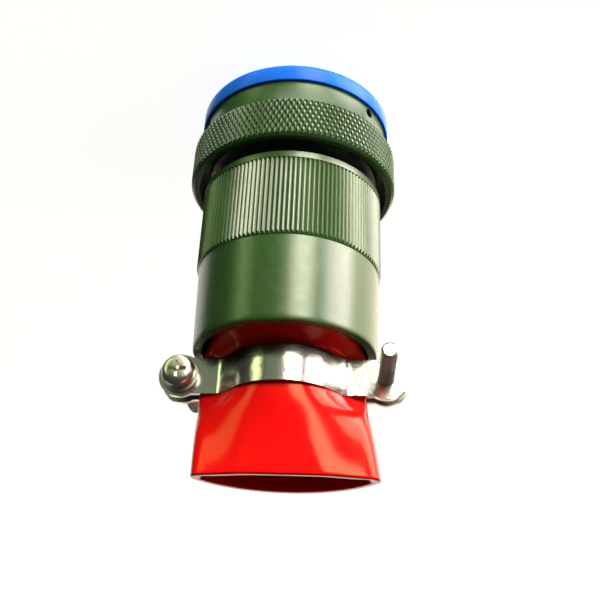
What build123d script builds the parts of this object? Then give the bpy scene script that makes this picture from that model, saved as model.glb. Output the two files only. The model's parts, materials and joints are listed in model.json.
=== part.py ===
from build123d import *
import math
import os

os.makedirs("parts", exist_ok=True)

# A straight cable plug with a bayonet coupling nut, standing on the front of its dust cap.
# Millimetres. Z runs from the cap's front face to the cable end, and the clamp's ears lie along X.

# Fits and seats
running_gap = 0.05
thread_gap = 0.03
insert_gap = 0.05
rubber_gap = 0.15
clearance_hole_gap = 0.2

# Dust cap
cap_floor = 1.2
cap_height = 4.9
cap_wall = 0.8
cap_edge_round = 0.6
cap_lip_round = 0.25

# Coupling nut
nut_wall = 1.5
nut_band_length = 11.0
knurl_step = 2.5
knurl_length = 11.6
knurl_chamfer = 0.6
nut_front_chamfer = 0.4
nut_flange_thickness = 2.0
nut_recess_wall = 2.4
nut_recess_depth = 4.8

# Bayonet ramps inside the nut, each ending at an inspection hole
ramp_count = 3
ramp_turn = 100.0
ramp_width = 2.8
ramp_floor = 0.7
ramp_rise = 3.0
hole_radius = 1.35
hole_station = 5.5
hole_angle = 215.4

# Plug shell
barrel_wall = 2.6
barrel_recess = 2.2
shoulder_thickness = 2.0
shoulder_height = 3.0
shell_thread_wall = 1.8
shell_thread_step = 0.4
shell_thread_length = 7.0
key_angles = [90.0, 180.0, 235.0, 305.0, 0.0]
key_width = 1.8
key_height = 1.0
key_length = 6.5

# Spring, washer and ring that hold the nut on the shell
spring_thickness = 0.5
spring_arch = 1.2
spring_side_gap = 0.5
thrust_washer_thickness = 0.6
retaining_ring_thickness = 1.2
retaining_ring_groove = 1.2
retaining_ring_reach = 1.8
retaining_ring_split = 4.0

# Inserts and contacts
insert_radius = 17.75
insert_step = 1.0
seal_thickness = 0.8
seal_setback = 0.7
insulator_front_length = 10.6
insulator_rear_length = 6.5
grommet_length = 7.0
insert_ring_thickness = 3.0
insert_ring_width = 3.2
insert_ring_slot_width = 3.0
insert_ring_slot_depth = 1.2
contact_radius = 1.7
contact_bore_radius = 1.2
contact_bore_depth = 12.0
contact_setback = 0.3
contact_rear_reach = 4.0
contact_edge_distance = 5.15
contact_row_distance = 7.6
inner_contact_count = 4
outer_contact_count = 10

# Backshell
backshell_clearance = 2.1
backshell_lip_length = 2.0
serration_length = 22.1
backshell_tail_length = 22.0
backshell_wall = 2.97
serration_step = 0.6
tail_taper = 0.55
backshell_seal_length = 3.0
backshell_rim_round = 0.5
backshell_lip_chamfer = 0.3
serration_count = 126
serration_depth = 0.45
serration_land = 0.18
serration_run_out = 1.0
ledge_thickness = 2.0
ledge_distance = 10.0
entry_wall = 2.2
entry_space = 2.45

# O-ring between plug shell and backshell
o_ring_section_radius = 0.65
o_ring_groove_length = 1.5
o_ring_setback = 0.6

# Rubber cable sleeve
sleeve_wall = 2.4
sleeve_flange_thickness = 3.5
sleeve_round_length = 7.0
sleeve_grip_margin = 0.25
sleeve_tail_length = 20.0
sleeve_flap_reach = 3.5
sleeve_end_width = 43.4
sleeve_end_top = 9.5
sleeve_end_bottom = 9.6
sleeve_end_side = 4.0
sleeve_end_corner = 3.2
thrust_ring_thickness = 1.8
thrust_ring_width = 3.4

# Cable clamp: each saddle is a flat strap with one arched hump over the sleeve
clamp_gap_to_backshell = 0.5
saddle_sheet = 1.4
saddle_half_gap = 1.6
saddle_ear_radius = 5.4
saddle_band_width = 9.3
hump_height = 10.4
hump_radius = 14.0
hump_slope = 52.0
fold_radius = 4.0
screw_to_fold = 8.1

# M4 pan-head screws with flat and split washers
screw_radius = 2.0
screw_length = 25.0
screw_head_radius = 4.0
screw_head_height = 3.0
screw_head_round = 1.6
screw_tip_chamfer = 0.4
recess_length = 4.4
recess_width = 0.9
recess_depth = 1.7
flat_washer_radius = 4.5
flat_washer_thickness = 0.8
lock_washer_radius = 3.6
lock_washer_thickness = 1.0
lock_washer_split = 0.7
lock_washer_angle = 35.0

# Stations along Z
nut_front_z = cap_floor
knurl_front_z = nut_front_z + nut_band_length
nut_rear_z = knurl_front_z + knurl_length
flange_rear_z = nut_rear_z - nut_recess_depth
flange_front_z = flange_rear_z - nut_flange_thickness
shoulder_rear_z = flange_front_z - thrust_washer_thickness - spring_thickness - spring_arch
shoulder_front_z = shoulder_rear_z - shoulder_thickness
barrel_front_z = nut_front_z + barrel_recess
ring_front_z = flange_rear_z + running_gap
backshell_front_z = nut_rear_z + backshell_clearance
backshell_seat_z = backshell_front_z + backshell_seal_length
shell_rear_z = backshell_seat_z + shell_thread_length
serration_front_z = backshell_front_z + backshell_lip_length
serration_rear_z = serration_front_z + serration_length
backshell_rear_z = serration_rear_z + backshell_tail_length
ledge_rear_z = backshell_rear_z - ledge_distance
ledge_front_z = ledge_rear_z - ledge_thickness
sleeve_front_z = ledge_front_z - sleeve_flange_thickness
thrust_ring_front_z = sleeve_front_z - thrust_ring_thickness
clamp_front_z = backshell_rear_z + clamp_gap_to_backshell
clamp_z = clamp_front_z + saddle_ear_radius
clamp_rear_z = clamp_z + saddle_ear_radius
sleeve_rear_z = clamp_rear_z + sleeve_tail_length

# Radii that follow from the insert, the walls and the fits
insert_rear_radius = insert_radius + insert_step
shell_front_bore_radius = insert_radius + insert_gap
shell_rear_bore_radius = insert_rear_radius + insert_gap
barrel_radius = shell_front_bore_radius + barrel_wall
shell_thread_radius = shell_rear_bore_radius + shell_thread_wall
shell_body_radius = shell_thread_radius + shell_thread_step
ring_groove_radius = shell_body_radius - retaining_ring_groove
nut_bore_radius = shell_body_radius + shoulder_height
nut_band_radius = nut_bore_radius + nut_wall
knurl_radius = nut_band_radius + knurl_step
nut_recess_radius = knurl_radius - nut_recess_wall
flange_bore_radius = shell_body_radius + running_gap
shoulder_radius = nut_bore_radius - running_gap
backshell_seal_radius = shell_body_radius + thread_gap
backshell_bore_radius = shell_thread_radius + thread_gap
backshell_front_radius = backshell_seal_radius + backshell_wall
backshell_shoulder_radius = backshell_front_radius - serration_step
backshell_rear_radius = backshell_shoulder_radius - tail_taper
backshell_entry_radius = backshell_rear_radius - entry_wall
sleeve_radius = backshell_entry_radius - entry_space

# Dust cap: a thin cup pushed over the front of the nut
cap_bore_radius = nut_band_radius + running_gap
cap_radius = cap_bore_radius + cap_wall
with BuildPart() as dust_cap:
    with BuildSketch(Plane.XY):
        Circle(cap_radius)
    extrude(amount=cap_height)
    with BuildSketch(Plane.XY.offset(cap_floor)):
        Circle(cap_bore_radius)
    extrude(amount=cap_height, mode=Mode.SUBTRACT)
    fillet(dust_cap.edges().group_by(Axis.Z)[0], cap_edge_round)
    fillet(dust_cap.edges().group_by(Axis.Z)[-1], cap_lip_round)

# One bayonet ramp: an entry slot from the front, a helical groove and its inspection hole
hole_z = nut_front_z + hole_station
ramp_start_z = hole_z - ramp_rise
ramp_pitch = ramp_rise * 360 / ramp_turn
ramp_depth = nut_wall - ramp_floor
with BuildPart() as ramp_cutter:
    with BuildLine() as ramp_path:
        Helix(ramp_pitch, ramp_rise, nut_bore_radius, center=(0, 0, ramp_start_z))
    with BuildSketch(Plane(ramp_path.line @ 0, x_dir=(1, 0, 0), z_dir=ramp_path.line % 0)):
        Rectangle(2 * ramp_depth, ramp_width)
    sweep(path=ramp_path.line, is_frenet=True)
    with BuildSketch(Plane.XY.offset(nut_front_z)):
        with Locations((nut_bore_radius, 0)):
            Rectangle(2 * ramp_depth, ramp_width)
    extrude(amount=ramp_start_z - nut_front_z)
    hole_direction = Vector(1, 0, 0).rotate(Axis.Z, ramp_turn)
    hole_plane = Plane(Vector(0, 0, hole_z), z_dir=hole_direction)
    with BuildSketch(hole_plane.offset(nut_bore_radius - ramp_depth)):
        Circle(hole_radius)
    extrude(amount=knurl_radius - nut_bore_radius)

# Coupling nut: smooth front band, knurled grip, inner flange and rear recess
with BuildPart() as coupling_nut:
    with BuildSketch(Plane.XZ):
        with BuildLine():
            Polyline(
                (nut_bore_radius, nut_front_z),
                (nut_band_radius - nut_front_chamfer, nut_front_z),
                (nut_band_radius, nut_front_z + nut_front_chamfer),
                (nut_band_radius, knurl_front_z),
                (knurl_radius - knurl_chamfer, knurl_front_z),
                (knurl_radius, knurl_front_z + knurl_chamfer),
                (knurl_radius, nut_rear_z - knurl_chamfer),
                (knurl_radius - knurl_chamfer, nut_rear_z),
                (nut_recess_radius, nut_rear_z),
                (nut_recess_radius, flange_rear_z),
                (flange_bore_radius, flange_rear_z),
                (flange_bore_radius, flange_front_z),
                (nut_bore_radius, flange_front_z),
                close=True,
            )
        make_face()
    revolve(axis=Axis.Z)
    with PolarLocations(0, ramp_count, start_angle=hole_angle - ramp_turn):
        add(ramp_cutter.part, mode=Mode.SUBTRACT)

# Plug shell: keyed mating barrel, shoulder, body and rear accessory thread
o_ring_groove_front_z = backshell_front_z + o_ring_setback
o_ring_groove_rear_z = o_ring_groove_front_z + o_ring_groove_length
o_ring_groove_radius = backshell_seal_radius - 2 * o_ring_section_radius
ring_rear_z = ring_front_z + retaining_ring_thickness
insulator_seat_z = barrel_front_z + seal_setback + seal_thickness + insulator_front_length
with BuildPart() as plug_shell:
    with BuildSketch(Plane.XZ):
        with BuildLine():
            Polyline(
                (shell_front_bore_radius, barrel_front_z),
                (barrel_radius, barrel_front_z),
                (barrel_radius, shoulder_front_z),
                (shoulder_radius, shoulder_front_z),
                (shoulder_radius, shoulder_rear_z),
                (shell_body_radius, shoulder_rear_z),
                (shell_body_radius, ring_front_z),
                (ring_groove_radius, ring_front_z),
                (ring_groove_radius, ring_rear_z),
                (shell_body_radius, ring_rear_z),
                (shell_body_radius, o_ring_groove_front_z),
                (o_ring_groove_radius, o_ring_groove_front_z),
                (o_ring_groove_radius, o_ring_groove_rear_z),
                (shell_body_radius, o_ring_groove_rear_z),
                (shell_body_radius, backshell_seat_z),
                (shell_thread_radius, backshell_seat_z),
                (shell_thread_radius, shell_rear_z),
                (shell_rear_bore_radius, shell_rear_z),
                (shell_rear_bore_radius, insulator_seat_z),
                (shell_front_bore_radius, insulator_seat_z),
                close=True,
            )
        make_face()
    revolve(axis=Axis.Z)
    for key_angle in key_angles:
        with BuildSketch(Plane.XY.offset(barrel_front_z)):
            with PolarLocations(barrel_radius, 1, start_angle=key_angle):
                Rectangle(2 * key_height, key_width)
        extrude(amount=key_length)
    with BuildSketch(Plane.XY.offset(barrel_front_z)):
        Circle(shell_front_bore_radius)
    extrude(amount=key_length, mode=Mode.SUBTRACT)

# Arched spring washer between the shell's shoulder and the thrust washer
spring_inner_radius = shell_body_radius + spring_side_gap
spring_outer_radius = nut_bore_radius - spring_side_gap
spring_bend_radius = (spring_outer_radius**2 + spring_arch**2) / (2 * spring_arch)
spring_centre_z = shoulder_rear_z + spring_arch + spring_thickness - spring_bend_radius
with BuildPart() as wave_spring:
    with BuildSketch(Plane.XY.offset(shoulder_rear_z)):
        Circle(spring_outer_radius)
        Circle(spring_inner_radius, mode=Mode.SUBTRACT)
    extrude(amount=spring_arch + spring_thickness)
    with BuildSketch(Plane.XZ.offset(-spring_outer_radius)):
        with Locations((0, spring_centre_z)):
            Circle(spring_bend_radius)
            Circle(spring_bend_radius - spring_thickness, mode=Mode.SUBTRACT)
    extrude(amount=2 * spring_outer_radius, mode=Mode.INTERSECT)

with BuildPart() as nut_thrust_washer:
    with BuildSketch(Plane.XY.offset(flange_front_z - thrust_washer_thickness)):
        Circle(spring_outer_radius)
        Circle(shell_body_radius + running_gap, mode=Mode.SUBTRACT)
    extrude(amount=thrust_washer_thickness)

# Split retaining ring in the shell's groove behind the nut's flange
retaining_ring_band = retaining_ring_reach + retaining_ring_groove
with BuildPart() as nut_retaining_ring:
    with BuildSketch(Plane.XY.offset(ring_front_z)):
        Circle(shell_body_radius + retaining_ring_reach)
        Circle(ring_groove_radius, mode=Mode.SUBTRACT)
        with Locations((0, shell_body_radius)):
            Rectangle(retaining_ring_split, 2 * retaining_ring_band, mode=Mode.SUBTRACT)
    extrude(amount=retaining_ring_thickness)

o_ring_z = o_ring_groove_front_z + o_ring_groove_length / 2
with BuildPart() as shell_o_ring:
    with BuildSketch(Plane.XZ):
        with Locations((backshell_seal_radius - o_ring_section_radius, o_ring_z)):
            Circle(o_ring_section_radius)
    revolve(axis=Axis.Z)

# Inserts: face seal, hard insulator and wire grommet, pierced for the contacts
seal_front_z = barrel_front_z + seal_setback
insulator_front_z = seal_front_z + seal_thickness
insulator_rear_z = insulator_seat_z + insulator_rear_length
grommet_rear_z = insulator_rear_z + grommet_length
contact_front_z = insulator_front_z + contact_setback
contact_rear_z = insulator_rear_z + contact_rear_reach
contact_hole_radius = contact_radius + insert_gap
outer_contact_circle = insert_radius - contact_edge_distance
inner_contact_circle = outer_contact_circle - contact_row_distance


def contact_circles(radius):
    """Draw a circle of the given radius at every contact's place in the current sketch."""
    with PolarLocations(inner_contact_circle, inner_contact_count):
        Circle(radius)
    with PolarLocations(outer_contact_circle, outer_contact_count):
        Circle(radius)


with BuildPart() as interfacial_seal:
    with BuildSketch(Plane.XY.offset(seal_front_z)):
        Circle(insert_radius)
    extrude(amount=seal_thickness)
    with BuildSketch(Plane.XY.offset(seal_front_z)):
        contact_circles(contact_bore_radius)
    extrude(amount=seal_thickness, mode=Mode.SUBTRACT)

with BuildPart() as front_insulator:
    with BuildSketch(Plane.XY.offset(insulator_front_z)):
        Circle(insert_radius)
    extrude(amount=insulator_front_length)
    with BuildSketch(Plane.XY.offset(insulator_seat_z)):
        Circle(insert_rear_radius)
    extrude(amount=insulator_rear_length)
    with BuildSketch(Plane.XY.offset(insulator_front_z)):
        contact_circles(contact_hole_radius)
    extrude(amount=insulator_rear_z - insulator_front_z, mode=Mode.SUBTRACT)

with BuildPart() as rear_grommet:
    with BuildSketch(Plane.XY.offset(insulator_rear_z)):
        Circle(insert_rear_radius)
    extrude(amount=grommet_length)
    with BuildSketch(Plane.XY.offset(insulator_rear_z)):
        contact_circles(contact_hole_radius)
    extrude(amount=grommet_length, mode=Mode.SUBTRACT)

with BuildPart() as socket_contacts:
    with BuildSketch(Plane.XY.offset(contact_front_z)):
        contact_circles(contact_radius)
    extrude(amount=contact_rear_z - contact_front_z)
    with BuildSketch(Plane.XY.offset(contact_front_z)):
        contact_circles(contact_bore_radius)
    extrude(amount=contact_bore_depth, mode=Mode.SUBTRACT)

with BuildPart() as insert_retaining_ring:
    with BuildSketch(Plane.XY.offset(grommet_rear_z)):
        Circle(insert_rear_radius)
        Circle(insert_rear_radius - insert_ring_width, mode=Mode.SUBTRACT)
    extrude(amount=insert_ring_thickness)
    with BuildSketch(Plane.XY.offset(grommet_rear_z + insert_ring_thickness)):
        Rectangle(2 * insert_rear_radius, insert_ring_slot_width)
    extrude(amount=-insert_ring_slot_depth, mode=Mode.SUBTRACT)

# Backshell: smooth lip, serrated grip that runs out on a cone, and a tapered tail
run_out_z = serration_rear_z - serration_run_out
serration_pitch = 2 * math.pi * backshell_front_radius / serration_count
serration_width = serration_pitch - serration_land
with BuildPart() as backshell:
    with BuildSketch(Plane.XZ):
        with BuildLine():
            Polyline(
                (backshell_seal_radius, backshell_front_z),
                (backshell_front_radius - backshell_lip_chamfer, backshell_front_z),
                (backshell_front_radius, backshell_front_z + backshell_lip_chamfer),
                (backshell_front_radius, run_out_z),
                (backshell_shoulder_radius, serration_rear_z),
                (backshell_rear_radius, backshell_rear_z),
                (backshell_entry_radius, backshell_rear_z),
                (backshell_entry_radius, ledge_rear_z),
                (sleeve_radius + rubber_gap, ledge_rear_z),
                (sleeve_radius + rubber_gap, ledge_front_z),
                (backshell_bore_radius, ledge_front_z),
                (backshell_bore_radius, backshell_seat_z),
                (backshell_seal_radius, backshell_seat_z),
                close=True,
            )
        make_face()
    revolve(axis=Axis.Z)
    rim = backshell.edges().filter_by(GeomType.CIRCLE).group_by(Axis.Z)[-1]
    fillet(rim.sort_by(SortBy.RADIUS)[-1], backshell_rim_round)
    with BuildSketch(Plane.XY.offset(serration_front_z)):
        with PolarLocations(backshell_front_radius, serration_count):
            Polygon(
                (-serration_depth, 0),
                (serration_depth, serration_width),
                (serration_depth, -serration_width),
                align=None,
            )
    extrude(amount=serration_length, mode=Mode.SUBTRACT)

# The saddles' hump and the sleeve under it share one curve. It is drawn in X and height over the
# mid-plane: an arc over the top, straight flanks and a fold into the flat ears, moved in by an inset.
ear_height = saddle_half_gap + saddle_sheet
hump_top = ear_height + hump_height
hump_centre = hump_top - hump_radius
fold_centre_height = ear_height + fold_radius
slope_sine = math.sin(math.radians(hump_slope))
slope_cosine = math.cos(math.radians(hump_slope))
fold_x = (hump_radius + fold_radius - (fold_centre_height - hump_centre) * slope_cosine) / slope_sine
half_slope = math.radians(hump_slope / 2)


def hump_edges(inset, reach):
    """Draw the hump's curve from the positive to the negative reach, drawn in by the inset."""
    top_radius = hump_radius - inset
    bend_radius = fold_radius + inset
    flat = ear_height - inset
    bend = (fold_x - bend_radius * slope_sine, fold_centre_height - bend_radius * slope_cosine)
    bend_middle = (
        fold_x - bend_radius * math.sin(half_slope),
        fold_centre_height - bend_radius * math.cos(half_slope),
    )
    flank = (top_radius * slope_sine, hump_centre + top_radius * slope_cosine)
    top = (0, hump_centre + top_radius)
    return [
        Line((reach, flat), (fold_x, flat)),
        ThreePointArc((fold_x, flat), bend_middle, bend),
        Line(bend, flank),
        ThreePointArc(flank, top, (-flank[0], flank[1])),
        Line((-flank[0], flank[1]), (-bend[0], bend[1])),
        ThreePointArc((-bend[0], bend[1]), (-bend_middle[0], bend_middle[1]), (-fold_x, flat)),
        Line((-fold_x, flat), (-reach, flat)),
    ]


# Rubber sleeve: round in the backshell, squeezed in the clamp and flattened at its open end
clamp_zone_front_z = clamp_front_z - sleeve_grip_margin
clamp_zone_rear_z = clamp_rear_z + sleeve_grip_margin
round_end_z = ledge_front_z + sleeve_round_length
grip_inset = saddle_sheet + rubber_gap
flap_half_thickness = ear_height - grip_inset
flap_end_x = fold_x + sleeve_flap_reach - flap_half_thickness
outline_points = 96


def round_outline(inset):
    """Draw the sleeve's round section, starting on the positive X side and going over the top."""
    radius = sleeve_radius - inset
    return Wire([
        ThreePointArc((radius, 0), (0, radius), (-radius, 0)),
        ThreePointArc((-radius, 0), (0, -radius), (radius, 0)),
    ])


def grip_outline():
    """Draw the sleeve's outer section between the saddles: a hump each way and a flat flap each side."""
    upper = hump_edges(grip_inset, flap_end_x)
    lower = [edge.mirror(Plane.XZ) for edge in upper]
    flap = flap_half_thickness
    tip = flap_end_x + flap
    return Wire([
        *upper,
        ThreePointArc((-flap_end_x, flap), (-tip, 0), (-flap_end_x, -flap)),
        *lower,
        ThreePointArc((flap_end_x, -flap), (tip, 0), (flap_end_x, flap)),
    ])


def grip_hollow_outline():
    """Draw the open way left between the saddles: two arcs joined by the hump's straight flanks."""
    radius = hump_radius - grip_inset - sleeve_wall
    flank = (radius * slope_sine, hump_centre + radius * slope_cosine)
    corner_x = flank[0] + flank[1] * slope_cosine / slope_sine
    top = hump_centre + radius
    return Wire([
        Line((corner_x, 0), flank),
        ThreePointArc(flank, (0, top), (-flank[0], flank[1])),
        Line((-flank[0], flank[1]), (-corner_x, 0)),
        Line((-corner_x, 0), (-flank[0], -flank[1])),
        ThreePointArc((-flank[0], -flank[1]), (0, -top), (flank[0], -flank[1])),
        Line((flank[0], -flank[1]), (corner_x, 0)),
    ])


def end_outline(inset):
    """Draw the open end's section: a flat top, short upright sides and one round belly."""
    side_x = sleeve_end_width / 2 - inset
    top = sleeve_end_top - inset
    bottom = sleeve_end_bottom - inset
    corner = max(sleeve_end_corner - inset, inset / 2)
    corner_cut = corner * (1 - math.sqrt(1 / 2))
    middle_x = side_x - corner_cut
    middle_y = top - corner_cut
    flat_x = side_x - corner
    flank_y = top - corner
    return Wire([
        Line((side_x, sleeve_end_side), (side_x, flank_y)),
        ThreePointArc((side_x, flank_y), (middle_x, middle_y), (flat_x, top)),
        Line((flat_x, top), (-flat_x, top)),
        ThreePointArc((-flat_x, top), (-middle_x, middle_y), (-side_x, flank_y)),
        Line((-side_x, flank_y), (-side_x, sleeve_end_side)),
        ThreePointArc((-side_x, sleeve_end_side), (0, -bottom), (side_x, sleeve_end_side)),
    ])


def sleeve_form(round_wire, grip_wire, end_wire):
    """Fill the form that runs through the three outlines, from the flange to the open end."""
    stations = [
        (sleeve_front_z, round_wire),
        (round_end_z, round_wire),
        (clamp_zone_front_z, grip_wire),
        (clamp_zone_rear_z, grip_wire),
        (sleeve_rear_z, end_wire),
    ]
    with BuildPart() as form:
        for front, rear in zip(stations, stations[1:]):
            for z, wire in (front, rear):
                with BuildSketch(Plane.XY.offset(z)):
                    with BuildLine():
                        places = [wire @ (k / outline_points) for k in range(outline_points)]
                        Spline([(place.X, -place.Y) for place in places], periodic=True)
                    make_face()
            loft(ruled=True)
    return form.part


sleeve_body = sleeve_form(round_outline(0), grip_outline(), end_outline(0))
sleeve_hollow = sleeve_form(round_outline(sleeve_wall), grip_hollow_outline(), end_outline(sleeve_wall))
with BuildPart() as cable_sleeve:
    add(sleeve_body)
    with BuildSketch(Plane.XY.offset(sleeve_front_z)):
        Circle(backshell_bore_radius - rubber_gap)
    extrude(amount=sleeve_flange_thickness)
    add(sleeve_hollow, mode=Mode.SUBTRACT)

with BuildPart() as sleeve_thrust_ring:
    with BuildSketch(Plane.XY.offset(thrust_ring_front_z)):
        Circle(backshell_bore_radius - rubber_gap)
        Circle(backshell_bore_radius - rubber_gap - thrust_ring_width, mode=Mode.SUBTRACT)
    extrude(amount=thrust_ring_thickness)

# Clamp saddles: one stamped strap on each side of the sleeve, screwed together at the ears
screw_x = fold_x + screw_to_fold
strap_reach = screw_x + saddle_ear_radius


def saddle(side, tapped_x):
    """Bend one strap on the given side of the mid-plane, tapped at one ear and drilled at the other."""
    with BuildPart() as strap:
        with BuildSketch(Plane.XY.offset(clamp_front_z)):
            with BuildLine():
                add(hump_edges(0, strap_reach))
                add(hump_edges(saddle_sheet, strap_reach))
                Line((strap_reach, ear_height), (strap_reach, saddle_half_gap))
                Line((-strap_reach, ear_height), (-strap_reach, saddle_half_gap))
            make_face()
        extrude(amount=2 * saddle_ear_radius)
        if side < 0:
            mirror(about=Plane.XZ, mode=Mode.REPLACE)
        with BuildSketch(Plane.XZ.offset(-strap_reach)):
            with Locations((0, clamp_z)):
                Rectangle(2 * screw_x, saddle_band_width)
            with Locations((-screw_x, clamp_z), (screw_x, clamp_z)):
                Circle(saddle_ear_radius)
        extrude(amount=2 * strap_reach, mode=Mode.INTERSECT)
        with BuildSketch(Plane.XZ.offset(-strap_reach)):
            with Locations((tapped_x, clamp_z)):
                Circle(screw_radius + thread_gap)
            with Locations((-tapped_x, clamp_z)):
                Circle(screw_radius + clearance_hole_gap)
        extrude(amount=2 * strap_reach, mode=Mode.SUBTRACT)
    return strap


upper_saddle = saddle(-1, -screw_x)
lower_saddle = saddle(1, screw_x)

# Screws and washers: the left head faces the upper side, the right head the lower side


def washer(x, side, seat_y, radius, thickness, split):
    """Turn one washer lying on the given seat, with a slanted split where one is asked for."""
    with BuildPart() as ring:
        with BuildSketch(Plane((x, side * seat_y, clamp_z), x_dir=(1, 0, 0), z_dir=(0, side, 0))):
            Circle(radius)
            Circle(screw_radius + clearance_hole_gap / 2, mode=Mode.SUBTRACT)
        extrude(amount=thickness)
        if split:
            slant = Plane((x, side * (seat_y + thickness / 2), clamp_z), x_dir=(1, 0, 0), z_dir=(0, 0, 1))
            with BuildSketch(slant):
                Rectangle(split, 2 * thickness, rotation=lock_washer_angle)
            extrude(amount=radius, mode=Mode.SUBTRACT)
    return ring


def screw(x, side):
    """Turn one pan-head screw with a cross recess, its head on the given side of the clamp."""
    head_seat_y = ear_height + flat_washer_thickness + lock_washer_thickness
    seat = Plane((x, side * head_seat_y, clamp_z), x_dir=(1, 0, 0), z_dir=(0, side, 0))
    with BuildPart() as bolt:
        with BuildSketch(seat):
            Circle(screw_head_radius)
        extrude(amount=screw_head_height)
        fillet(bolt.faces().sort_by(Axis(seat.origin, seat.z_dir))[-1].edges(), screw_head_round)
        with BuildSketch(seat):
            Circle(screw_radius)
        extrude(amount=-screw_length)
        chamfer(bolt.faces().sort_by(Axis(seat.origin, seat.z_dir))[0].edges(), screw_tip_chamfer)
        with BuildSketch(seat.offset(screw_head_height)):
            Rectangle(recess_length, recess_width)
            Rectangle(recess_width, recess_length)
        extrude(amount=-recess_depth, mode=Mode.SUBTRACT)
    return bolt


flat_seat_y = ear_height
lock_seat_y = flat_seat_y + flat_washer_thickness
left_screw = screw(screw_x, -1)
right_screw = screw(-screw_x, 1)
left_flat_washer = washer(screw_x, -1, flat_seat_y, flat_washer_radius, flat_washer_thickness, 0)
right_flat_washer = washer(-screw_x, 1, flat_seat_y, flat_washer_radius, flat_washer_thickness, 0)
left_lock_washer = washer(
    screw_x, -1, lock_seat_y, lock_washer_radius, lock_washer_thickness, lock_washer_split
)
right_lock_washer = washer(
    -screw_x, 1, lock_seat_y, lock_washer_radius, lock_washer_thickness, lock_washer_split
)

# One STEP file for each piece
pieces = {
    "dust_cap": dust_cap,
    "coupling_nut": coupling_nut,
    "plug_shell": plug_shell,
    "wave_spring": wave_spring,
    "nut_thrust_washer": nut_thrust_washer,
    "nut_retaining_ring": nut_retaining_ring,
    "shell_o_ring": shell_o_ring,
    "interfacial_seal": interfacial_seal,
    "front_insulator": front_insulator,
    "rear_grommet": rear_grommet,
    "socket_contacts": socket_contacts,
    "insert_retaining_ring": insert_retaining_ring,
    "backshell": backshell,
    "cable_sleeve": cable_sleeve,
    "sleeve_thrust_ring": sleeve_thrust_ring,
    "upper_saddle": upper_saddle,
    "lower_saddle": lower_saddle,
    "left_screw": left_screw,
    "right_screw": right_screw,
    "left_flat_washer": left_flat_washer,
    "right_flat_washer": right_flat_washer,
    "left_lock_washer": left_lock_washer,
    "right_lock_washer": right_lock_washer,
}
for name, piece in pieces.items():
    piece.part.label = name
    export_step(piece.part, f"parts/{name}.step")
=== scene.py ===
"""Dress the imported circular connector: knurled nut, serrated backshell, dust cap, sleeve and clamp."""

import json
import math

import bmesh
import bpy
from bpy.props import FloatProperty, FloatVectorProperty, IntProperty, PointerProperty
from mathutils import Matrix, Vector


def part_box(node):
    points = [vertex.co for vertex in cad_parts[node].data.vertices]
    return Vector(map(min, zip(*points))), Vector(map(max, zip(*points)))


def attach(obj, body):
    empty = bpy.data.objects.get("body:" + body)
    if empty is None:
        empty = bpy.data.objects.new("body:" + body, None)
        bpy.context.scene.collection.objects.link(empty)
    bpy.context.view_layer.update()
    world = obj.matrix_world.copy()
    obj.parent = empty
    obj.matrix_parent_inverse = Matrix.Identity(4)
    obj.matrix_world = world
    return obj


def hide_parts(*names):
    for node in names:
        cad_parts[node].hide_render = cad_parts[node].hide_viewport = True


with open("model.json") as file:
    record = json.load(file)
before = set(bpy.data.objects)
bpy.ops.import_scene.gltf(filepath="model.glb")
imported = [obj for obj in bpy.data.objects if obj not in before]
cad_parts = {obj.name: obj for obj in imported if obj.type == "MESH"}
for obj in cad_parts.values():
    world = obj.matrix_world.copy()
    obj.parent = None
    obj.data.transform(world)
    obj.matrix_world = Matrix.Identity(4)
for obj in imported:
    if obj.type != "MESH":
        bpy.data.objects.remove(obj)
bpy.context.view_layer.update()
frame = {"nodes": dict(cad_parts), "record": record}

bl_info = {
    "name": "Circular connector",
    "version": (1, 0, 0),
    "blender": (4, 5, 0),
    "location": "View3D > Sidebar > Connector",
    "description": "Builds the visible pieces of a circular cable connector around its packed solids",
    "category": "Add Mesh",
}

MM = 0.001
nut_low, nut_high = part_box("coupling_nut")
shell_low, shell_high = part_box("backshell")
_, cap_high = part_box("dust_cap")
strap_low, strap_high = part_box("upper_saddle")
sleeve_low, sleeve_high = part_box("cable_sleeve")
screw_low, screw_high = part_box("left_screw")


# Properties


def length(name, description, default):
    """Make a length property in metres."""
    return FloatProperty(
        name=name, description=description, default=default, min=0.0, unit="LENGTH", precision=5
    )


def rotation(name, description, degrees):
    """Make an angle property, given in degrees."""
    return FloatProperty(name=name, description=description, default=math.radians(degrees), subtype="ANGLE")


def colour(name, description, default):
    """Make a colour property."""
    return FloatVectorProperty(
        name=name, description=description, default=default, size=3, min=0.0, max=1.0, subtype="COLOR"
    )


class NutProperties(bpy.types.PropertyGroup):
    """Sizes of the coupling nut"""

    crest: length("Knurl radius", "Radius over the points of the knurl", nut_high.x)
    root: length("Root radius", "Radius at the bottom of the knurl", nut_high.x - 0.5 * MM)
    band: length("Band radius", "Radius of the smooth front band", 25.5 * MM)
    bore: length("Bore radius", "Radius of the mating bore", 24.0 * MM)
    flange: length("Flange radius", "Bore radius of the inner flange", 21.05 * MM)
    recess: length("Recess radius", "Radius of the recess in the rear face", 25.6 * MM)
    front: length("Front", "Height of the front face", nut_low.z)
    rear: length("Rear", "Height of the rear face", nut_high.z)
    shoulder: length("Shoulder", "Height at which the knurl begins", nut_low.z + 11.0 * MM)
    hole: length("Hole radius", "Radius of the inspection holes", 1.35 * MM)
    hole_height: length("Hole height", "Height of the inspection holes", nut_low.z + 5.5 * MM)
    columns: IntProperty(name="Knurl columns", description="Diamonds around the nut", default=120, min=24)
    rows: IntProperty(name="Knurl rows", description="Diamonds along the nut", default=4, min=1)


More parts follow.
